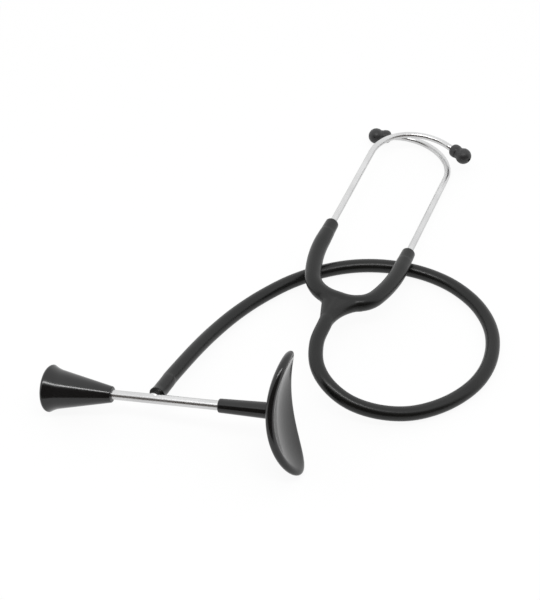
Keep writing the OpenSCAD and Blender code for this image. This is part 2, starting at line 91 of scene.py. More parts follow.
class ListeningSizes(bpy.types.PropertyGroup):
    """Sizes of the horn, the sound tube and its branch"""

    horn_mouth: length("Horn mouth", "Diameter across the lip", 31.5)
    horn_cone: length("Horn cone", "Diameter of the cone at the mouth", 29.4)
    horn_neck: length("Horn neck", "Diameter at the neck", 11.0)
    horn_length: length("Horn length", "Length along the axis", 45.0)
    horn_flare: length("Horn flare", "Length of the flare behind the lip", 9.0)
    horn_lip: length("Horn lip", "Radius of the rolled lip", 2.2)
    horn_flat: length("Lip flat", "Depth of the flat ring on the lip", 0.3)
    horn_socket: length("Horn socket", "Depth of the socket in the neck", 17.0)
    tube: length("Sound tube", "Outer diameter of the tube", 6.4)
    tube_wall: length("Sound tube wall", "Wall of the tube", 0.8)
    tube_show: length("Sound tube length", "Length between the horn and the rest", 72.5)
    branch_at: length("Branch place", "Distance from the horn's neck", 28.5)
    branch_lean: angle("Branch lean", "Lean towards the rest", 6.0)
    branch_droop: angle("Branch droop", "Droop below level", 17.0)
    spigot: length("Spigot", "Outer diameter of the spigot", 5.2)
    spigot_wall: length("Spigot wall", "Wall of the spigot", 0.7)
    spigot_grip: length("Spigot grip", "Length inside the tubing", 16.0)
    braze: length("Brazed collar", "Diameter at the foot of the spigot", 8.0)
    braze_height: length("Braze height", "Height of the collar above the tube", 1.6)


class RestSizes(bpy.types.PropertyGroup):
    """Sizes of the forehead rest"""

    long: length("Rest length", "Length from tip to tip", 85.0)
    wide: length("Rest width", "Width across the middle", 51.0)
    sag: length("Rest curve", "Depth of the curve along the length", 15.0)
    dish: length("Rest hollow", "Depth of the hollow across the width", 4.0)
    thick: length("Rest thickness", "Thickness of the rest", 5.4)
    lean: angle("Rest lean", "Lean of the rest on the tube", 28.0)
    slant: angle("Rest slant", "Angle from square to the tube", 5.0)
    offset: length("Rest offset", "Drop of the middle below the tube's axis", 1.6)
    socket: length("Socket length", "Length of the socket behind the rest", 34.0)
    socket_tip: length("Socket tip", "Diameter at the free end", 9.2)
    socket_root: length("Socket root", "Diameter at the root", 10.8)
    socket_bore: length("Socket bore", "Depth of the bore", 22.0)
    fillet: length("Socket fillet", "Radius at the socket's root", 3.0)


class HeadsetSizes(bpy.types.PropertyGroup):
    """Sizes of the soft tubing, the ear tubes and the ear tips"""

    tubing: length("Tubing", "Outer diameter of the soft tubing", 10.0)
    stem_length: length("Stem length", "Length of the yoke's stem", 20.0)
    stem: length("Stem", "Diameter where the arms part", 10.8)
    crotch: length("Crotch radius", "Radius from the stem into each arm", 30.0)
    arm: length("Arm", "Outer diameter of the arms", 11.6)
    arm_end: length("Arm end", "Diameter at the free ends", 10.0)
    arm_half: length("Yoke middle", "Half the straight length in the middle", 3.5)
    bend: length("Arm bend", "Radius of the tight bend", 21.5)
    bend_turn: angle("Bend turn", "Angle of the tight bend", 70.0)
    sweep: length("Arm sweep", "Radius of the long sweep", 105.0)
    arm_straight: length("Arm straight", "Length of the straight end", 21.0)
    split_turn: angle("Arm split", "Angle along the bend where an arm starts to flex", 35.0)
    ear_tube: length("Ear tube", "Outer diameter of the ear tubes", 4.8)
    ear_wall: length("Ear tube wall", "Wall of the ear tubes", 0.6)
    ear_grip: length("Ear tube grip", "Length inside the arm", 15.0)
    ear_straight: length("Ear tube straight", "Straight length above the arm", 93.0)
    hook: length("Hook", "Radius of the hook", 37.0)
    hook_turn: angle("Hook turn", "Angle of the hook", 113.0)
    ear_end: length("Ear tube end", "Straight length after the hook", 9.0)
    stagger: length("Stagger", "How far the right ear tube stands out and the left one sits in", 4.5)
    tip_length: length("Ear tip length", "Length of an ear tip", 18.0)
    dome: length("Ear tip dome", "Diameter of the dome", 12.4)
    collar: length("Ear tip collar", "Diameter of the collar", 10.4)
    collar_length: length("Collar length", "Length of the collar", 6.4)
    waist: length("Ear tip waist", "Diameter between the collar and the dome", 9.7)
    hole: length("Sound hole", "Diameter of the hole", 2.6)
    seat: length("Ear tip seat", "Depth of the seat for the ear tube", 4.0)
    spring: length("Spring thickness", "Thickness of the leaf spring", 0.5)
    spring_wide: length("Spring width", "Width of the leaf spring", 3.2)
    spring_grip: length("Spring grip", "Length inside each ear tube", 10.0)


class StethoscopeColours(bpy.types.PropertyGroup):
    """Colours of the finishes"""

    moulding: colour("Moulding", "Polished black moulding", (0.006, 0.006, 0.0063))
    tubing: colour("Tubing", "Satin black soft tubing", (0.0040, 0.0043, 0.0040))
    ear_tip: colour("Ear tip", "Soft matt black of the ear tips", (0.021, 0.021, 0.0215))
    chrome: colour("Chrome", "Bright plate on the tubes", (0.61, 0.61, 0.61))
    steel: colour("Steel", "Plain spring strip", (0.50, 0.51, 0.53))
    nickel: colour("Nickel", "Plate on the nipples", (0.72, 0.70, 0.64))
    floor: colour("Floor", "Pale floor under the stethoscope", (0.90, 0.90, 0.90))


def listening():
    """Sizes of the listening piece."""
    return bpy.context.scene.stethoscope_listening


def rest_sizes():
    """Sizes of the forehead rest."""
    return bpy.context.scene.stethoscope_rest


def headset():
    """Sizes of the tubing and the headset."""
    return bpy.context.scene.stethoscope_headset


def colours():
    """Colours of the finishes."""
    return bpy.context.scene.stethoscope_colours


# Frames that carry the pieces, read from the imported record
def from_axes(x, y, z, origin):
    """A frame from its three axes and its origin."""
    return Matrix.Translation(origin) @ Matrix((x, y, z)).transposed().to_4x4()


def tube_frame(station=0.0):
    """A frame on the sound tube: +Z along it to the rest, +X up, +Y to the near side."""
    along = Vector(JOINTS["rest_swivel"]["axis"]).normalized()
    far = Vector((0.0, 1.0, 0.0))
    up = along.cross(far).normalized()
    lip_radius = listening().horn_mouth / 2 - listening().horn_lip
    mouth = Vector(MOUNTS["horn_lip"]["pos_m"]) - lip_radius * far
    return from_axes(up, -far, along, mouth) @ Matrix.Translation((0, 0, station))


def branch_frame():
    """A frame on the branch, with +Z out along it from the sound tube's axis."""
    sizes = listening()
    return (tube_frame(sizes.horn_length + sizes.branch_at)
            @ Matrix.Rotation(-sizes.branch_droop, 4, "Z")
            @ Matrix.Rotation(QUARTER - sizes.branch_lean, 4, "X"))


def rest_station():
    """Place of the rest's back on the sound tube."""
    return listening().horn_length + listening().tube_show + rest_sizes().socket


def split_height():
    """How far along the headset the arms start to flex."""
    return headset().bend * (1 - math.cos(headset().split_turn))


def headset_frame():
    """The yoke's frame: +X to the right arm, +Y to the ear tips."""
    left = Vector(JOINTS["left_arm_spread"]["pos_m"])
    right = Vector(JOINTS["right_arm_spread"]["pos_m"])
    across = (right - left).normalized()
    normal = Vector(JOINTS["left_arm_spread"]["axis"]).normalized()
    along = normal.cross(across).normalized()
    return from_axes(across, along, across.cross(along), (left + right) / 2 - split_height() * along)


def side_frame(side):
    """The frame of one side of the headset, which lifts or drops from where the arms part."""
    yoke = headset_frame()
    across = yoke.to_3x3() @ Vector((1, 0, 0))
    along = -Vector(JOINTS[side + "_ear_twist"]["axis"]).normalized()
    across = (across - across.dot(along) * along).normalized()
    pivot = yoke @ Vector((0, split_height(), 0))
    return from_axes(across, along, across.cross(along), pivot - split_height() * along)


def bend_point(turn):
    """A point on the right arm's tight bend."""
    sizes = headset()
    return Vector((sizes.arm_half + sizes.bend * math.sin(turn), sizes.bend * (1 - math.cos(turn)), 0))


def sweep_middle():
    """Centre of the right arm's long sweep."""
    sizes = headset()
    turn = sizes.bend_turn
    return bend_point(turn) + sizes.sweep * Vector((-math.sin(turn), math.cos(turn), 0))


def hook_start():
    """Where the right ear tube's hook starts, across and along the headset."""
    sizes = headset()
    middle = sweep_middle()
    return middle.x + sizes.sweep, middle.y + sizes.arm_straight + sizes.ear_straight


def hook_heading():
    """The way out of the right ear tube's hook."""
    turn = headset().hook_turn
    return Vector((-math.sin(turn), math.cos(turn), 0))


def ear_end_frame(side):
    """A frame at the end of an ear tube, with +Z out of the tube."""
    sizes = headset()
    sign, turn = SIGNS[side], sizes.hook_turn
    out = hook_heading()
    x, y = hook_start()
    end = (Vector((x + sizes.hook * (math.cos(turn) - 1), y + sizes.hook * math.sin(turn), 0))
           + sizes.ear_end * out)
    out.x, end.x = sign * out.x, sign * end.x
    end.y += sign * sizes.stagger
    normal = Vector((0, 0, 1))
    return side_frame(side) @ from_axes(normal, out.cross(normal), out, end)


# The modelling bench: small steps of Blender's own tools
NO_CHANGE = 1e-7
MERGE = 2e-6
SWEEP_RESOLUTION = 10
METAL_SHARP = 35.0


def clear_bench():
    """Leave edit mode and drop every selection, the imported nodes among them."""
    if bpy.context.object is not None and bpy.context.object.mode != "OBJECT":
        bpy.ops.object.mode_set(mode="OBJECT")
    bpy.ops.object.select_all(action="DESELECT")


def take(*pieces):
    """Select these pieces and make the last one active."""
    clear_bench()
    for piece in pieces:
        piece.select_set(True)
    bpy.context.view_layer.objects.active = pieces[-1]


def named(name):
    """Name the piece in hand and its mesh."""
    piece = bpy.context.object
    piece.name = piece.data.name = name
    return piece


def settle():
    """Put the place of the piece in hand into its mesh."""
    bpy.ops.object.transform_apply(location=True, rotation=True, scale=True)


def edit_all(kind="VERT"):
    """Go on in edit mode with everything selected."""
    bpy.ops.object.mode_set(mode="EDIT")
    bpy.ops.mesh.select_mode(type=kind)
    bpy.ops.mesh.select_all(action="SELECT")


def draw_ring(name, radius, centre, sides, turn=(0.0, 0.0, 0.0)):
    """Add a ring of edges as a new piece and go on in edit mode."""
    clear_bench()
    bpy.ops.mesh.primitive_circle_add(vertices=sides, radius=radius, location=centre, rotation=turn)
    piece = named(name)
    settle()
    edit_all()
    return piece


def draw_out(step):
    """Extrude what is selected by a step."""
    bpy.ops.mesh.extrude_region_move(TRANSFORM_OT_translate={"value": tuple(step)})


def grow(factor, centre):
    """Scale what is selected about a centre."""
    if abs(factor - 1) > NO_CHANGE:
        bpy.ops.transform.resize(value=(factor, factor, factor), center_override=tuple(centre))


def swing(turn, centre, steps):
    """Spin what is selected about a centre in the headset's plane, the way that the right hand turns."""
    bpy.ops.mesh.spin(steps=steps, angle=-turn, center=tuple(centre), axis=(0, 0, 1))


def pick(piece, test):
    """In edit mode, select the vertices whose place passes a test."""
    bpy.ops.mesh.select_mode(type="VERT")
    bpy.ops.mesh.select_all(action="DESELECT")
    bpy.ops.object.mode_set(mode="OBJECT")
    for vertex in piece.data.vertices:
        vertex.select = test(vertex.co)
    bpy.ops.object.mode_set(mode="EDIT")


def close_ends():
    """Fill the open rings of the piece in hand with faces."""
    bpy.ops.mesh.select_mode(type="EDGE")
    bpy.ops.mesh.select_all(action="DESELECT")
    bpy.ops.mesh.select_non_manifold(extend=False, use_wire=True, use_boundary=True,
                                     use_multi_face=False, use_non_contiguous=False, use_verts=False)
    bpy.ops.mesh.fill_holes(sides=0)


def mend():
    """Merge doubles and turn every face outwards."""
    bpy.ops.mesh.select_all(action="SELECT")
    bpy.ops.mesh.remove_doubles(threshold=MERGE)
    bpy.ops.mesh.normals_make_consistent(inside=False)


def leave(piece, sharp=METAL_SHARP):
    """Leave edit mode and shade the piece smooth up to an angle."""
    bpy.ops.object.mode_set(mode="OBJECT")
    take(piece)
    bpy.ops.object.shade_smooth_by_angle(angle=math.radians(sharp))
    return piece


def turned(name, profile, sides, sharp=METAL_SHARP):
    """Turn a profile of (radius, height) stations about Z, drawn out ring by ring.
    A profile that comes back to its start closes on itself, and any other is closed at its ends."""
    radius, height = profile[0]
    piece = draw_ring(name, radius, (0, 0, height), sides)
    for next_radius, next_height in profile[1:]:
        draw_out((0, 0, next_height - height))
        grow(next_radius / radius, (0, 0, next_height))
        radius, height = next_radius, next_height
    mend()
    close_ends()
    mend()
    return leave(piece, sharp)


def arc(centre, radius, start, end, steps, tall=1.0):
    """Stations of (radius, height) along an arc, with angles in degrees from the radius axis.
    A tall arc is stretched along the height."""
    stations = []
    for step in range(steps + 1):
        turn = math.radians(start + (end - start) * step / steps)
        stations.append((centre[0] + radius * math.cos(turn), centre[1] + tall * radius * math.sin(turn)))
    return stations


def line(start, end, steps):
    """Stations between two stations, without the first."""
    return [(start[0] + (end[0] - start[0]) * step / steps, start[1] + (end[1] - start[1]) * step / steps)
            for step in range(1, steps + 1)]


def swept(name, points):
    """Sweep a round section along (point, radius) stations into a closed mesh."""
    clear_bench()
    curve = bpy.data.curves.new(name, "CURVE")
    curve.dimensions = "3D"
    spline = curve.splines.new("POLY")
    spline.points.add(len(points) - 1)
    for knot, (point, radius) in zip(spline.points, points):
        knot.co = (*point, 1.0)
        knot.radius = radius / MM
    curve.bevel_depth = MM
    curve.bevel_resolution = SWEEP_RESOLUTION
    curve.use_fill_caps = True
    piece = bpy.data.objects.new(name, curve)
    bpy.context.collection.objects.link(piece)
    take(piece)
    bpy.ops.object.convert(target="MESH")
    piece = bpy.context.object
    edit_all()
    mend()
    return leave(piece)


def place(piece, matrix):
    """Put a finished piece in its place, and the place in its mesh."""
    take(piece)
    piece.matrix_world = matrix
    settle()
    return piece


def use(piece, kind, **values):
    """Add a modifier with these values and apply it."""
    take(piece)
    bpy.ops.object.modifier_add(type=kind)
    modifier = piece.modifiers[-1]
    for key, value in values.items():
        setattr(modifier, key, value)
    bpy.ops.object.modifier_apply(modifier=modifier.name)
    return piece


def unite(piece, *others):
    """Cut other closed pieces into one skin with a piece, and remove them."""
    for other in others:
        use(piece, "BOOLEAN", operation="UNION", solver="EXACT", object=other)
        bpy.data.objects.remove(other)
    return piece


def both_sides(right, mirror=True):
    """A right-hand piece and its left-hand copy, mirrored across the headset, each with its side."""
    take(right)
    bpy.ops.object.duplicate()
    left = named(right.name.replace("right", "left"))
    if mirror:
        edit_all()
        bpy.ops.transform.resize(value=(-1, 1, 1), center_override=(0, 0, 0))
        bpy.ops.mesh.normals_make_consistent(inside=False)
        bpy.ops.object.mode_set(mode="OBJECT")
    return (right, "right"), (left, "left")


def paint(piece, slot):
    """Give a piece the finish of a slot."""
    piece.data.materials.clear()
    piece.data.materials.append(finish_of(slot))


def finish_piece(piece, slot, node, body=None):
    """Give a piece the finish of a slot, hide the node that it stands for, and attach it to its body if it has
    one.
    """
    paint(piece, slot)
    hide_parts(node)
    if body is not None:
        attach(piece, body)


# Finishes
NOISE_MIDDLE = {"From Min": 0.3, "From Max": 0.7}
TONE_BETWEEN = (0.35, 0.65)
PLAIN_NOISE = (1.0, 3.0, (1.0, 1.0, 1.0), 0.5)

# Noises are (scale, detail, stretch, roughness), with features of about 1 / scale metres. They drive two
# shares of the base colour, two ends of the roughness, and bumps of (strength, height in metres).
FINISHES = {
    "moulding": dict(
        name="polished_black_moulding", base="moulding", fixed={"IOR": 1.5},
        noises={"haze": (70.0, 4.0), "scuffs": (420.0, 6.0, (1.0, 0.25, 1.0), 0.65), "ripple": (160.0, 2.0)},
        tone=("haze", 0.75, 1.3), rough=("scuffs", 0.09, 0.20),
        bumps=(("ripple", 0.10, 0.0003), ("scuffs", 0.04, 0.0001))),
    "tubing": dict(
        name="satin_black_tubing", base="tubing", fixed={"IOR": 1.42},
        noises={"bloom": (45.0, 4.0), "grain": (1500.0, 3.0), "waves": (190.0, 2.0)},
        tone=("bloom", 0.85, 1.18), rough=("bloom", 0.27, 0.34),
        bumps=(("waves", 0.10, 0.0003), ("grain", 0.08, 0.00005))),
    "ear_tip": dict(
        name="soft_matt_black", base="ear_tip", fixed={"IOR": 1.48},
        noises={"dust": (160.0, 5.0), "grain": (1100.0, 3.0)},
        tone=("dust", 0.85, 1.3), rough=("dust", 0.36, 0.48),
        bumps=(("grain", 0.25, 0.0001),)),
    "chrome_tube": dict(
        name="bright_chrome_plate", base="chrome", fixed={"Metallic": 1.0},
        noises={"haze": (55.0, 4.0), "wipes": (900.0, 4.0, (0.2, 1.0, 1.0), 0.6), "draw": (120.0, 2.0)},
        tone=("haze", 0.92, 1.04), rough=("wipes", 0.25, 0.33),
        bumps=(("draw", 0.02, 0.0002), ("wipes", 0.003, 0.00004))),
    "spring_steel": dict(
        name="rolled_spring_steel", base="steel", fixed={"Metallic": 1.0},
        noises={"grain": (1400.0, 4.0, (1.0, 0.1, 1.0))},
        tone=("grain", 0.85, 1.1), rough=("grain", 0.26, 0.40),
        bumps=(("grain", 0.1, 0.00005),)),
    "nipple": dict(
        name="turned_nickel_plate", base="nickel", fixed={"Metallic": 1.0},
        noises={"marks": (2200.0, 3.0)},
        tone=("marks", 0.88, 1.06), rough=("marks", 0.18, 0.30),
        bumps=(("marks", 0.1, 0.00004),)),
}
MADE = {}


def feed(tree, node, inputs):
    """Set or link a node's inputs, by name or by number."""
    for key, value in inputs.items():
        if isinstance(value, bpy.types.NodeSocket):
            tree.links.new(value, node.inputs[key])
        else:
            node.inputs[key].default_value = value


def add_node(tree, kind, inputs, output=0, **settings):
    """Add a shader node with its settings and inputs, and hand on one of its outputs."""
    node = tree.nodes.new("ShaderNode" + kind)
    for key, value in settings.items():
        setattr(node, key, value)
    feed(tree, node, inputs)
    return node.outputs[output]


def make_finish(look):
    """A node material on the object's own coordinates, from one row of the table."""
    material = bpy.data.materials.new(look["name"])
    material.use_nodes = True
    tree = material.node_tree
    space = add_node(tree, "TexCoord", {}, "Object")
    noises = {}
    for key, row in look["noises"].items():
        scale, detail, stretch, roughness = row + PLAIN_NOISE[len(row):]
        spread = add_node(tree, "Mapping", {"Vector": space, "Scale": stretch})
        inputs = {"Vector": spread, "Scale": scale, "Detail": detail, "Roughness": roughness}
        noises[key] = add_node(tree, "TexNoise", inputs, "Fac")
    key, *shares = look["tone"]
    base = getattr(colours(), look["base"])
    ramp = tree.nodes.new("ShaderNodeValToRGB")
    for element, share, at in zip(ramp.color_ramp.elements, shares, TONE_BETWEEN):
        element.position = at
        element.color = (base[0] * share, base[1] * share, base[2] * share, 1.0)
    feed(tree, ramp, {"Fac": noises[key]})
    key, low, high = look["rough"]
    inputs = {"Value": noises[key], "To Min": low, "To Max": high, **NOISE_MIDDLE}
    sockets = {"Base Color": ramp.outputs["Color"], **look["fixed"],
               "Roughness": add_node(tree, "MapRange", inputs, "Result")}
    skin = {}
    for key, strength, height in look["bumps"]:
        inputs = {"Height": noises[key], "Strength": strength, "Distance": height, **skin}
        skin = {"Normal": add_node(tree, "Bump", inputs, "Normal")}
    feed(tree, tree.nodes["Principled BSDF"], {**sockets, **skin})
    return material


def finish_of(slot):
    """The material of a slot, made once."""
    if slot not in MADE:
        MADE[slot] = make_finish(FINISHES[slot])
    return MADE[slot]


# Stage
CAMERA_TARGET = Vector((0.5, -21.5, 0.0)) * MM
CAMERA_AROUND = math.radians(13.2)
CAMERA_UP = math.radians(48.0)
CAMERA_AWAY = 883.0 * MM
CAMERA_LENS = 73.56
FLOOR_SIZE = 12.0
FLOOR_DROP = 0.02 * MM
FLOOR_GLOW = 0.92
WHITE = (1.0, 1.0, 1.0, 1.0)
ROOM_SHADE = (0.075, 0.062, 0.052, 1.0)
TENT_OPENING = {"From Min": 0.28, "From Max": 0.46, "To Min": 1.2, "To Max": 0.0}
LAMP_UP = math.radians(71.0)
LAMP_AWAY = 1.2
LAMP_SIZE = (1.0, 0.12)
LAMP_POWER = 5.0


def around(turn, up):
    """A direction by its turn from the front and its height above level."""
    return Vector((math.sin(turn) * math.cos(up), -math.cos(turn) * math.cos(up), math.sin(up)))


def maths(tree, operation, *values):
    """A math node on values that are sockets or numbers."""
    return add_node(tree, "Math", dict(enumerate(values)), operation=operation)


def rays(tree, *kinds):
    """1 for the rays of these kinds, and 0 for all others."""
    path = tree.nodes.new("ShaderNodeLightPath")
    share = path.outputs[kinds[0]]
    for kind in kinds[1:]:
        share = maths(tree, "MAXIMUM", share, path.outputs[kind])
    return share


class STETHOSCOPE_OT_stage(bpy.types.Operator):
    """Set up the camera, the pale floor and the soft studio light"""

    bl_idname = "stethoscope.stage"
    bl_label = "Stage"

    def camera(self, context):
        away = around(CAMERA_AROUND, CAMERA_UP)
        clear_bench()
        bpy.ops.object.camera_add(location=CAMERA_TARGET + CAMERA_AWAY * away)
        camera = bpy.context.object
        camera.name = "studio_camera"
        camera.rotation_euler = away.to_track_quat("Z", "Y").to_euler()
        camera.data.lens = CAMERA_LENS
        context.scene.camera = camera

    def floor(self):
        """A matt floor that glows white to the camera and in reflections, and keeps a faint shadow."""
        clear_bench()
        bpy.ops.mesh.primitive_plane_add(size=FLOOR_SIZE, location=(0, 0, -FLOOR_DROP))
        floor = named("studio_floor")
        settle()
        material = bpy.data.materials.new("pale_floor")
        material.use_nodes = True
        tree = material.node_tree
        tree.nodes.clear()
        matt = add_node(tree, "BsdfDiffuse", {"Color": colours().floor})
        glow = add_node(tree, "Emission", {"Color": WHITE, "Strength": 1.0})
        seen = rays(tree, "Is Glossy Ray", "Is Transmission Ray", "Is Camera Ray")
        share = maths(tree, "MULTIPLY", seen, FLOOR_GLOW)
        mix = add_node(tree, "MixShader", {0: share, 1: matt, 2: glow})
        feed(tree, tree.nodes.new("ShaderNodeOutputMaterial"), {"Surface": mix})
        floor.data.materials.append(material)

    def surroundings(self, context):
        """A white tent that is open and dark behind the photographer."""
        world = bpy.data.worlds.new("studio_tent")
        context.scene.world = world
        world.use_nodes = True
        tree = world.node_tree
        tree.nodes.clear()
        space = add_node(tree, "TexCoord", {}, "Generated")
        toward = add_node(tree, "VectorMath", {0: space, 1: around(CAMERA_AROUND, 0.0)}, "Value",
                          operation="DOT_PRODUCT")
        opening = add_node(tree, "MapRange", {"Value": toward, **TENT_OPENING}, "Result",
                           interpolation_type="SMOOTHSTEP")
        share = maths(tree, "MAXIMUM", opening, rays(tree, "Is Camera Ray"))
        shade = add_node(tree, "Mix", {0: share, 6: ROOM_SHADE, 7: WHITE}, 2,
                         data_type="RGBA", clamp_factor=False)
        background = add_node(tree, "Background", {"Color": shade})
        feed(tree, tree.nodes.new("ShaderNodeOutputWorld"), {"Surface": background})

    def lamp(self):
        """A long strip of a softbox, high up on the photographer's side."""
        direction = around(CAMERA_AROUND, LAMP_UP)
        clear_bench()
        bpy.ops.object.light_add(type="AREA", location=direction * LAMP_AWAY)
        lamp = bpy.context.object
        lamp.name = "strip_softbox"
        lamp.rotation_euler = direction.to_track_quat("Z", "Y").to_euler()
        lamp.data.shape = "RECTANGLE"
        lamp.data.size, lamp.data.size_y = LAMP_SIZE
        lamp.data.energy = LAMP_POWER

    def execute(self, context):
        context.scene.view_settings.view_transform = "Standard"
        self.camera(context)
        self.surroundings(context)
        self.lamp()
        self.floor()
        return {"FINISHED"}


# Soft tubing, with its route as (x, y, lift off the floor) in millimetres
TUBING_ROUTE = (
    (-36, -88, 7), (-28, -64.5, 3), (-17.5, -43, 1), (-4, -23, 0), (13, -4.5, 0), (33, 10.5, 0),
    (55, 21, 0), (79, 26, 0), (104, 25, 0), (127.5, 17, 0), (147, 1.5, 0), (159, -20, 0),
    (161, -44.5, 0), (154, -67.5, 0), (138.5, -87.5, 0), (118, -102.5, 1.5), (97, -110, 5),
    (76.5, -111, 10), (60, -104.5, 15), (49, -91.5, 18), (45, -74, 20))
END_GAP = 0.3 * MM
STEM_LEAD = 6.0 * MM
SLEEVE_POINTS = 4
ROUTE_STEPS = 8
MOUTH_STRETCH = (1.10, 1.07, 1.04, 1.015)
RING_REACH = 0.15 * MM


def tubing_route():
    """The tubing's middle line: out of the branch, round the loop on the floor and up to the yoke."""
    sizes = headset()
    branch = branch_frame()
    sleeve = listening().tube / 2 + listening().braze_height + END_GAP
    yoke = headset_frame()
    half_grip = listening().spigot_grip / 2
    points = [branch @ Vector((0, 0, sleeve + step * half_grip)) for step in range(SLEEVE_POINTS)]
    points += [Vector((x * MM, y * MM, lift * MM + sizes.tubing / 2)) for x, y, lift in TUBING_ROUTE]
    points += [yoke @ Vector((0, -sizes.stem_length - lead, 0)) for lead in (STEM_LEAD, 0.0)]
    ends = [2 * points[0] - points[1], *points, 2 * points[-1] - points[-2]]
    route = []
    for a, b, c, d in zip(ends, ends[1:], ends[2:], ends[3:]):
        for step in range(ROUTE_STEPS):
            t = step / ROUTE_STEPS
            route.append((2 * b + (c - a) * t + (2 * a - 5 * b + 4 * c - d) * t * t
                          + (3 * b - a - 3 * c + d) * t * t * t) / 2)
    route.append(points[-1])
    return route


class STETHOSCOPE_OT_tubing(bpy.types.Operator):
    """Model the soft tubing along its route, with its mouth stretched over the spigot"""

    bl_idname = "stethoscope.tubing"
    bl_label = "Soft tubing"

    def execute(self, context):
        sizes = headset()
        route = tubing_route()
        piece = swept("soft_tubing", [(point, sizes.tubing / 2) for point in route])
        edit_all()
        for ring, share in enumerate(MOUTH_STRETCH):
            centre = route[ring]
            heading = (route[ring + 1] - centre).normalized()
            pick(piece, lambda co: (co - centre).length < sizes.tubing
                 and abs((co - centre).dot(heading)) < RING_REACH)
            grow(share, centre)
        leave(piece)
        finish_piece(piece, "tubing", "main_tubing", "listening_piece")
        return {"FINISHED"}


# Listening piece
PUSH_FIT = 0.02 * MM
NECK_EDGE = 0.9 * MM
FLARE_STEPS = 16
TUBE_EDGE = 0.2 * MM
BRAZE_FOOT = ((0.9 * MM, -0.5 * MM), (0.2 * MM, 0.1 * MM), (0.0, 0.7 * MM))
BRAZE_STEPS = 10
BRAZE_CURVE = 2.2
MOULDED_SHARP = 40.0
DISC_EYE = 0.25 * MM
SOCKET_EYE = 0.3 * MM
SOCKET_EDGE = 1.0 * MM
SOCKET_FIT = 0.05 * MM
FILLET_OVERLAP = 0.2 * MM
FILLET_END = 92.0


class STETHOSCOPE_OT_horn(bpy.types.Operator):
    """Turn the horn: a socket in its neck, a long cone, a flare and a rolled lip round the bell"""

    bl_idname = "stethoscope.horn"
    bl_label = "Horn"

    def execute(self, context):
        sizes = listening()
        lip_at = sizes.horn_lip - sizes.horn_flat
        bell_at = sizes.horn_length - sizes.horn_socket
        mouth_r, neck_r = sizes.horn_mouth / 2, sizes.horn_neck / 2
        socket_r, bore_r = sizes.tube / 2 + PUSH_FIT, sizes.tube / 2 - sizes.tube_wall

        def cone(station):
            return neck_r + (sizes.horn_cone / 2 - neck_r) * (1 - station / sizes.horn_length)

        flare_span = sizes.horn_flare - lip_at
        flare_rise = mouth_r - cone(lip_at)
        flare = []
        for step in range(FLARE_STEPS + 1):
            station = lip_at + flare_span * step / FLARE_STEPS
            rise = flare_rise * ((sizes.horn_flare - station) / flare_span) ** 2
            flare.append((cone(station) + rise, station))
        flat = math.degrees(math.asin(lip_at / sizes.horn_lip))
        lip_middle = (mouth_r - sizes.horn_lip, lip_at)
        lip = arc(lip_middle, sizes.horn_lip, -180, -180 + flat, 8)
        lip += arc(lip_middle, sizes.horn_lip, -flat, 0, 8)
        neck = arc((neck_r - NECK_EDGE, sizes.horn_length - NECK_EDGE), NECK_EDGE, 0, 90, 5)
        inner = (socket_r, sizes.horn_length)
        profile = [inner, *line(inner, (socket_r, bell_at), 6), (bore_r, bell_at)]
        profile += line((bore_r, bell_at), lip[0], 24) + lip[1:] + flare[1:]
        profile += line(flare[-1], neck[0], 24) + neck[1:] + [inner]
        piece = turned("horn_moulding", profile, 128, MOULDED_SHARP)
        place(piece, tube_frame())
        finish_piece(piece, "moulding", "horn", "listening_piece")
        return {"FINISHED"}


class STETHOSCOPE_OT_sound_tube(bpy.types.Operator):
    """Draw the sound tube and the branch spigot with its brazed collar"""

    bl_idname = "stethoscope.sound_tube"
    bl_label = "Sound tube and branch"

    def execute(self, context):
        sizes = listening()
        start = sizes.horn_length - sizes.horn_socket + END_GAP
        end = sizes.horn_length + sizes.tube_show + rest_sizes().socket_bore - END_GAP
        outer, inner = sizes.tube / 2, sizes.tube / 2 - sizes.tube_wall
        profile = [(inner, start), (outer - TUBE_EDGE, start), (outer, start + TUBE_EDGE)]
        profile += line((outer, start + TUBE_EDGE), (outer, end - TUBE_EDGE), 40)
        profile += [(outer - TUBE_EDGE, end), (inner, end)]
        profile += line((inner, end), (inner, start), 20)
        tube = place(turned("chromed_sound_tube", profile, 64), tube_frame())
        finish_piece(tube, "chrome_tube", "sound_tube", "listening_piece")

        spigot_r, bore_r, braze_r = sizes.spigot / 2, sizes.spigot / 2 - sizes.spigot_wall, sizes.braze / 2
        top = outer + sizes.braze_height
        tip = top + END_GAP + sizes.spigot_grip
        bottom, widest = BRAZE_FOOT[0][1], BRAZE_FOOT[-1][1]
        collar = [(bore_r, bottom)] + [(braze_r - inset, height) for inset, height in BRAZE_FOOT]
        for step in range(1, BRAZE_STEPS + 1):
            share = step / BRAZE_STEPS
            collar.append((spigot_r + (braze_r - spigot_r) * (1 - share) ** BRAZE_CURVE,
                           widest + (top - widest) * share))
        collar += line(collar[-1], (spigot_r, tip - TUBE_EDGE), 12)
        collar += [(spigot_r - TUBE_EDGE, tip), (bore_r, tip), (bore_r, bottom)]
        spigot = place(turned("chromed_branch_spigot", collar, 64), branch_frame())
        finish_piece(spigot, "chrome_tube", "branch_spigot", "listening_piece")
        return {"FINISHED"}


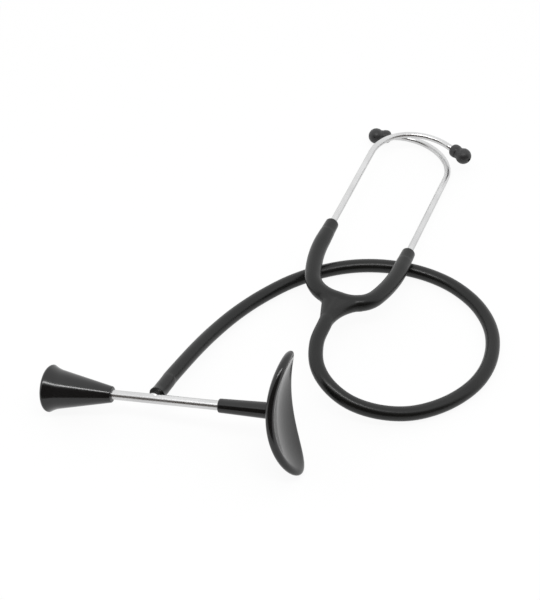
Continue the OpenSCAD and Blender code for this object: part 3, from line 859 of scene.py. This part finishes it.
class STETHOSCOPE_OT_forehead_rest(bpy.types.Operator):
    """Form the dished oval rest from a round-edged disc, and unite it with its socket"""

    bl_idname = "stethoscope.forehead_rest"
    bl_label = "Forehead rest"

    def curve_radius(self):
        sizes = rest_sizes()
        return ((sizes.long / 2) ** 2 + sizes.sag ** 2) / (2 * sizes.sag)

    def saddle(self):
        sizes = rest_sizes()
        half_w, half_t = sizes.wide / 2, sizes.thick / 2
        curve_r = self.curve_radius()
        half_turn = math.asin(sizes.long / 2 / curve_r)
        dish_r = sizes.wide ** 2 / (8 * sizes.dish)
        rim = arc((half_w - half_t, half_t), half_t, -90, 90, 14)
        profile = [(DISC_EYE, 0.0)] + line((DISC_EYE, 0.0), rim[0], 22) + rim[1:]
        profile += line(rim[-1], (DISC_EYE, sizes.thick), 22)
        piece = turned("forehead_rest_moulding", profile, 128, MOULDED_SHARP)
        edit_all()
        bpy.ops.transform.resize(value=(curve_r * half_turn / half_w, 1, 1), center_override=(0, 0, 0))
        bpy.ops.object.mode_set(mode="OBJECT")
        place(piece, Matrix.Rotation(-QUARTER, 4, "X"))
        use(piece, "SIMPLE_DEFORM", deform_method="BEND", deform_axis="X", angle=sizes.wide / dish_r)
        use(piece, "SIMPLE_DEFORM", deform_method="BEND", deform_axis="Z", angle=2 * half_turn)
        return place(piece, Matrix.Rotation(sizes.slant, 4, "Y") @ Matrix.Translation((-sizes.offset, 0, 0))
                     @ Matrix.Rotation(QUARTER, 4, "X"))

    def socket(self):
        sizes = rest_sizes()
        tip_r, root_r = sizes.socket_tip / 2, sizes.socket_root / 2
        bore_r = listening().tube / 2 + SOCKET_FIT
        foot = sizes.thick / 2
        bottom = sizes.socket_bore - sizes.socket
        mouth = arc((tip_r - SOCKET_EDGE, SOCKET_EDGE - sizes.socket), SOCKET_EDGE, -90, 0, 8)
        profile = [(SOCKET_EYE, bottom), (bore_r, bottom)]
        profile += line((bore_r, bottom), (bore_r, -sizes.socket), 8) + mouth
        profile += line(mouth[-1], (root_r, 0.0), 24) + [(root_r, foot), (SOCKET_EYE, foot)]
        return turned("rest_socket", profile, 96, MOULDED_SHARP)

    def fillet(self):
        sizes = rest_sizes()
        foot = sizes.thick / 2
        reach = sizes.socket_root / 2 + sizes.fillet
        root_at = reach ** 2 / (2 * self.curve_radius())
        flare = arc((reach, root_at - sizes.fillet), sizes.fillet + FILLET_OVERLAP, 180, FILLET_END, 14)
        profile = [(SOCKET_EYE, flare[0][1])] + flare + [(flare[-1][0], foot), (SOCKET_EYE, foot)]
        piece = turned("rest_fillet", profile, 96, MOULDED_SHARP)
        return place(piece, Matrix.Rotation(sizes.slant, 4, "Y"))

    def execute(self, context):
        lean = Matrix.Rotation(-rest_sizes().lean, 4, "Z")
        piece = unite(place(self.saddle(), lean), place(self.fillet(), lean), self.socket())
        take(piece)
        bpy.ops.object.shade_smooth_by_angle(angle=math.radians(MOULDED_SHARP))
        place(piece, tube_frame(rest_station()))
        finish_piece(piece, "moulding", "forehead_rest", "rest")
        return {"FINISHED"}


# Headset
RING_SIDES = 64
SOFT_SHARP = 50.0
STEM_STEPS = 12
STEM_REACH = 12.0 * MM
STEM_SPARE = 3.0 * MM
STEM_WIDEST = 11.0 * MM
STEM_DIVE = 0.15 * MM
RUN_SPARE = math.radians(12.0)
SMOOTHED_OFF = 0.10 * MM
WEB_SHARES = {1: (1.25, 1.0, 0.8, 0.6, 0.4), -1: (0.72, 0.55, 0.4)}
WEB_STEPS = 16
WEB_R = (5.6 * MM, 4.8 * MM)
LEFT_WEB_EDGE = (Vector((-5.4, -21.0, 0.0)) * MM, Vector((-9.6, -6.0, 0.0)) * MM)
CROTCH_END = math.radians(177.0)
YOKE_VOXEL = 0.42 * MM
YOKE_SMOOTHING = {"factor": 0.5, "iterations": 24}
ARM_SINK = 0.02 * MM
ARM_TUCK = math.radians(8.0)
ARM_TUCK_INSET = 0.8 * MM
ARM_TUCK_STEPS = ((math.radians(5.0), 0.25 * MM), (math.radians(3.0), 0.0))
ARM_SLEEVE = 11.5 * MM
ARM_STEP = 0.12 * MM
ARM_ROUND = 1.8 * MM
ARM_MOUTH = ((0.15 * MM, 0.02 * MM), (0.05 * MM, 0.25 * MM), (0.05 * MM, 4.0 * MM))
EAR_TUBE_SIDES = 48
EAR_TUBE_STEPS = 24
HOOK_STEPS = 56
TIP_EDGE = 1.4 * MM
TIP_EDGE_END = 38.0
TIP_MOUTH_EDGE = 2.6 * MM
TIP_MOUTH_TALL = 1.4
TIP_WAIST_GAP = 0.2 * MM
TIP_LIP = 0.5 * MM
TIP_LIP_DROP = 0.9
TIP_HOLE_STEP = 6.0 * MM


class STETHOSCOPE_OT_yoke(bpy.types.Operator):
    """Form the soft yoke: a stem that fans into a U of tubing, in one smooth skin"""

    bl_idname = "stethoscope.yoke"
    bl_label = "Yoke"

    def stations(self):
        """Run, place and heading along the stem's middle line, which goes on down the tubing."""
        to_yoke = headset_frame().inverted()
        points = [Vector((0, -headset().stem_length * step / STEM_STEPS, 0)) for step in range(STEM_STEPS)]
        points += [to_yoke @ point for point in reversed(tubing_route())]
        stations, run = [], 0.0
        for before, point in zip(points, points[1:]):
            run += (point - before).length
            stations.append((run, point, (point - before).normalized()))
        return stations

    def stem(self):
        sizes = headset()
        top_r, foot_r = sizes.stem / 2, sizes.tubing / 2 - STEM_DIVE
        reach = sizes.stem_length + STEM_REACH
        points = []
        for run, point, _ in self.stations():
            share = min(max(run - STEM_WIDEST, 0.0) / (reach - STEM_WIDEST), 1.0)
            points.append((point, top_r + (foot_r - top_r) * share))
            if run > reach + STEM_SPARE:
                break
        return swept("yoke_stem", points)

    def foot(self):
        """Where the stem's skin ends on the tubing, and the way out of it."""
        reach = headset().stem_length + STEM_REACH
        return next((point, heading) for run, point, heading in self.stations() if run >= reach)

    def run(self):
        sizes = headset()
        turn = sizes.split_turn + RUN_SPARE
        start = bend_point(turn)
        piece = draw_ring("yoke_run", sizes.arm / 2 + SMOOTHED_OFF, start, RING_SIDES, (0, QUARTER, turn))
        swing(-turn, (sizes.arm_half, sizes.bend, 0), 14)
        draw_out((-2 * sizes.arm_half, 0, 0))
        swing(-turn, (-sizes.arm_half, sizes.bend, 0), 14)
        close_ends()
        mend()
        return leave(piece)

    def crotch(self, sign, radius):
        """A tapered run from one arm into the stem; a few of them side by side fill the web."""
        sizes = headset()
        reach = sizes.bend + radius
        aside = radius - sizes.arm_half
        drop = math.sqrt(reach ** 2 - aside ** 2) - sizes.bend
        start = QUARTER + math.asin(aside / reach)
        points = []
        for step in range(WEB_STEPS + 1):
            share = step / WEB_STEPS
            turn = start + (CROTCH_END - start) * share
            point = Vector((sign * radius * (1 + math.cos(turn)), radius * math.sin(turn) - drop, 0))
            points.append((point, WEB_R[0] + (WEB_R[1] - WEB_R[0]) * share))
        return swept("yoke_crotch", points)

    def left_web(self):
        """A straight run inside the web's left edge, from the stem up into the left arm."""
        low, high = LEFT_WEB_EDGE
        up = (high - low).normalized()
        inwards = Vector((up.y, -up.x, 0)) * WEB_R[1]
        stations = (low - up * WEB_R[1], low, high, high + up * WEB_R[1] / 2)
        return swept("yoke_left_web", [(station + inwards, WEB_R[1]) for station in stations])

    def execute(self, context):
        sizes = headset()
        parts = [self.run(), self.stem(), self.left_web()]
        for sign, shares in WEB_SHARES.items():
            parts += [self.crotch(sign, sizes.crotch * share) for share in shares]
        take(*parts)
        bpy.ops.object.join()
        piece = named("soft_yoke")
        use(piece, "REMESH", mode="VOXEL", voxel_size=YOKE_VOXEL)
        use(piece, "SMOOTH", **YOKE_SMOOTHING)
        turn = sizes.split_turn
        at = bend_point(turn)
        cuts = [self.foot()]
        for sign in (1, -1):
            cuts.append((Vector((sign * at.x, at.y, 0)), Vector((sign * math.cos(turn), math.sin(turn), 0))))
        take(piece)
        for at, out in cuts:
            edit_all()
            bpy.ops.mesh.bisect(plane_co=at, plane_no=out, use_fill=True, clear_outer=True)
        mend()
        leave(piece, SOFT_SHARP)
        place(piece, headset_frame())
        finish_piece(piece, "tubing", "tubing_yoke", "listening_piece")
        return {"FINISHED"}


def bend_between(piece):
    """Put the place of a soft piece into its mesh."""
    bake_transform(piece)


class STETHOSCOPE_OT_arms(bpy.types.Operator):
    """Model one soft arm from the yoke to its round end, and mirror it for the other side"""

    bl_idname = "stethoscope.arms"
    bl_label = "Arms"

    def arm(self):
        sizes = headset()
        arm_r, end_r, bore_r = sizes.arm / 2 - ARM_SINK, sizes.arm_end / 2, sizes.ear_tube / 2
        bend_at = (sizes.arm_half, sizes.bend, 0)
        middle = sweep_middle()
        turn = sizes.split_turn - ARM_TUCK
        radius = arm_r - ARM_TUCK_INSET
        piece = draw_ring("right_soft_arm", radius, bend_point(turn), RING_SIDES, (0, QUARTER, turn))
        for step, inset in ARM_TUCK_STEPS:
            turn += step
            swing(step, bend_at, 1)
            grow((arm_r - inset) / radius, bend_point(turn))
            radius = arm_r - inset
        swing(sizes.bend_turn - turn, bend_at, 18)
        swing(QUARTER - sizes.bend_turn, middle, 20)
        x, y = middle.x + sizes.sweep, middle.y
        top = y + sizes.arm_straight
        sleeve_at = top - ARM_SLEEVE
        round_at = top - ARM_ROUND
        sleeve_r = arm_r + (end_r - arm_r) * (sleeve_at - y) / (round_at - y)
        stations = line((arm_r, y), (sleeve_r, sleeve_at), 8)
        stations += [(sleeve_r - ARM_STEP, sleeve_at + 4 * ARM_STEP)]
        stations += line(stations[-1], (end_r, round_at), 6)
        stations += arc((end_r - ARM_ROUND, round_at), ARM_ROUND, 0, 90, 8)[1:]
        stations += [(bore_r + gap, top - depth) for gap, depth in ARM_MOUTH]
        for next_radius, next_y in stations:
            draw_out((0, next_y - y, 0))
            grow(next_radius / radius, (x, next_y, 0))
            radius, y = next_radius, next_y
        close_ends()
        mend()
        return leave(piece, SOFT_SHARP)

    def execute(self, context):
        for piece, side in both_sides(self.arm()):
            place(piece, side_frame(side))
            finish_piece(piece, "tubing", side + "_arm_tube")
            bend_between(piece)
        return {"FINISHED"}


class STETHOSCOPE_OT_spring(bpy.types.Operator):
    """Roll the flat spring inside the arms, in two legs, one in each arm"""

    bl_idname = "stethoscope.spring"
    bl_label = "Leaf spring"

    def leg(self):
        sizes = headset()
        clear_bench()
        bpy.ops.mesh.primitive_plane_add(size=1.0, location=(0, 0, 0), rotation=(0, QUARTER, 0))
        piece = named("right_spring_leg")
        piece.scale = (sizes.spring_wide, sizes.spring, 1)
        settle()
        edit_all("FACE")
        draw_out((sizes.arm_half, 0, 0))
        swing(sizes.bend_turn, (sizes.arm_half, sizes.bend, 0), 18)
        swing(QUARTER - sizes.bend_turn, sweep_middle(), 14)
        draw_out((0, sizes.arm_straight - sizes.ear_grip + sizes.spring_grip, 0))
        mend()
        return leave(piece)

    def execute(self, context):
        for piece, side in both_sides(self.leg()):
            place(piece, side_frame(side))
            finish_piece(piece, "spring_steel", "leaf_spring")
            bend_between(piece)
        return {"FINISHED"}


class STETHOSCOPE_OT_ear_tubes(bpy.types.Operator):
    """Bend one chromed ear tube to its hook, and mirror it for the other side"""

    bl_idname = "stethoscope.ear_tubes"
    bl_label = "Ear tubes"

    def tube(self):
        sizes = headset()
        x, hook_y = hook_start()
        foot = sweep_middle().y + sizes.arm_straight - sizes.ear_grip
        piece = draw_ring("right_chromed_ear_tube", sizes.ear_tube / 2, (x, foot, 0), EAR_TUBE_SIDES,
                          (QUARTER, 0, 0))
        for _ in range(EAR_TUBE_STEPS):
            draw_out((0, (hook_y - foot) / EAR_TUBE_STEPS, 0))
        swing(sizes.hook_turn, (x - sizes.hook, hook_y, 0), HOOK_STEPS)
        draw_out(sizes.ear_end * hook_heading())
        mend()
        leave(piece)
        return use(piece, "SOLIDIFY", thickness=sizes.ear_wall, offset=-1.0)

    def execute(self, context):
        for piece, side in both_sides(self.tube()):
            shift = SIGNS[side] * headset().stagger
            place(piece, side_frame(side) @ Matrix.Translation((0, shift, 0)))
            finish_piece(piece, "chrome_tube", side + "_ear_tube", side + "_ear")
        return {"FINISHED"}


class STETHOSCOPE_OT_ear_tips(bpy.types.Operator):
    """Turn one soft ear tip with its collar, waist and dome, and copy it for the other side"""

    bl_idname = "stethoscope.ear_tips"
    bl_label = "Ear tips"

    def tip(self):
        sizes = headset()
        dome_r, collar_r, waist_r = sizes.dome / 2, sizes.collar / 2, sizes.waist / 2
        hole_r, seat_r = sizes.hole / 2, sizes.ear_tube / 2 + PUSH_FIT
        dome_at = sizes.tip_length - dome_r
        meet = math.degrees(math.acos(waist_r / dome_r))
        mouth = math.degrees(math.acos((hole_r + TIP_LIP) / dome_r))
        start = (seat_r, 0.0)
        profile = [start, (collar_r - TIP_MOUTH_EDGE, 0.0)]
        mouth_round = (collar_r - TIP_MOUTH_EDGE, TIP_MOUTH_TALL * TIP_MOUTH_EDGE)
        profile += arc(mouth_round, TIP_MOUTH_EDGE, -90, 0, 8, TIP_MOUTH_TALL)[1:]
        profile += arc((collar_r - TIP_EDGE, sizes.collar_length - TIP_EDGE), TIP_EDGE, 0, TIP_EDGE_END, 6)
        profile += [(waist_r, sizes.collar_length + TIP_WAIST_GAP)]
        profile += arc((0, dome_at), dome_r, -meet, mouth, 26)
        top = profile[-1][1]
        profile += arc((hole_r + TIP_LIP, top - TIP_LIP * TIP_LIP_DROP), TIP_LIP, 90, 180, 5)[1:]
        profile += [(hole_r, sizes.seat + TIP_HOLE_STEP), (hole_r, sizes.seat), (seat_r, sizes.seat), start]
        return turned("right_soft_ear_tip", profile, 96, SOFT_SHARP)

    def execute(self, context):
        for piece, side in both_sides(self.tip(), mirror=False):
            place(piece, ear_end_frame(side) @ Matrix.Translation((0, 0, -headset().seat)))
            finish_piece(piece, "ear_tip", side + "_eartip", side + "_ear")
        return {"FINISHED"}


class STETHOSCOPE_OT_nipples(bpy.types.Operator):
    """Give the nipples inside the ear tips their plated finish"""

    bl_idname = "stethoscope.nipples"
    bl_label = "Nipples"

    def execute(self, context):
        for side in ("left", "right"):
            paint(frame["nodes"][side + "_tip_nipple"], "nipple")
        return {"FINISHED"}


OPERATORS = (STETHOSCOPE_OT_stage, STETHOSCOPE_OT_tubing, STETHOSCOPE_OT_horn, STETHOSCOPE_OT_sound_tube,
             STETHOSCOPE_OT_forehead_rest, STETHOSCOPE_OT_yoke, STETHOSCOPE_OT_arms, STETHOSCOPE_OT_spring,
             STETHOSCOPE_OT_ear_tubes, STETHOSCOPE_OT_ear_tips, STETHOSCOPE_OT_nipples)
GROUPS = {"stethoscope_listening": ListeningSizes, "stethoscope_rest": RestSizes,
          "stethoscope_headset": HeadsetSizes, "stethoscope_colours": StethoscopeColours}


class STETHOSCOPE_PT_bench(bpy.types.Panel):
    """Sizes, colours and the steps that model the stethoscope"""

    bl_idname = "STETHOSCOPE_PT_bench"
    bl_label = "Stethoscope"
    bl_space_type = "VIEW_3D"
    bl_region_type = "UI"
    bl_category = "Stethoscope"

    def draw(self, context):
        for operator in OPERATORS:
            self.layout.operator(operator.bl_idname)
        for name, group in GROUPS.items():
            box = self.layout.box()
            for key in group.__annotations__:
                box.prop(getattr(context.scene, name), key)


CLASSES = (*GROUPS.values(), *OPERATORS, STETHOSCOPE_PT_bench)


def register():
    for each in CLASSES:
        bpy.utils.register_class(each)
    for name, group in GROUPS.items():
        setattr(bpy.types.Scene, name, PointerProperty(type=group))


def unregister():
    for name in GROUPS:
        delattr(bpy.types.Scene, name)
    for each in reversed(CLASSES):
        bpy.utils.unregister_class(each)


def main():
    register()
    bpy.ops.stethoscope.stage()
    bpy.ops.stethoscope.tubing()
    bpy.ops.stethoscope.horn()
    bpy.ops.stethoscope.sound_tube()
    bpy.ops.stethoscope.forehead_rest()
    bpy.ops.stethoscope.yoke()
    bpy.ops.stethoscope.arms()
    bpy.ops.stethoscope.spring()
    bpy.ops.stethoscope.ear_tubes()
    bpy.ops.stethoscope.ear_tips()
    bpy.ops.stethoscope.nipples()


if __name__ == "__main__":
    main()
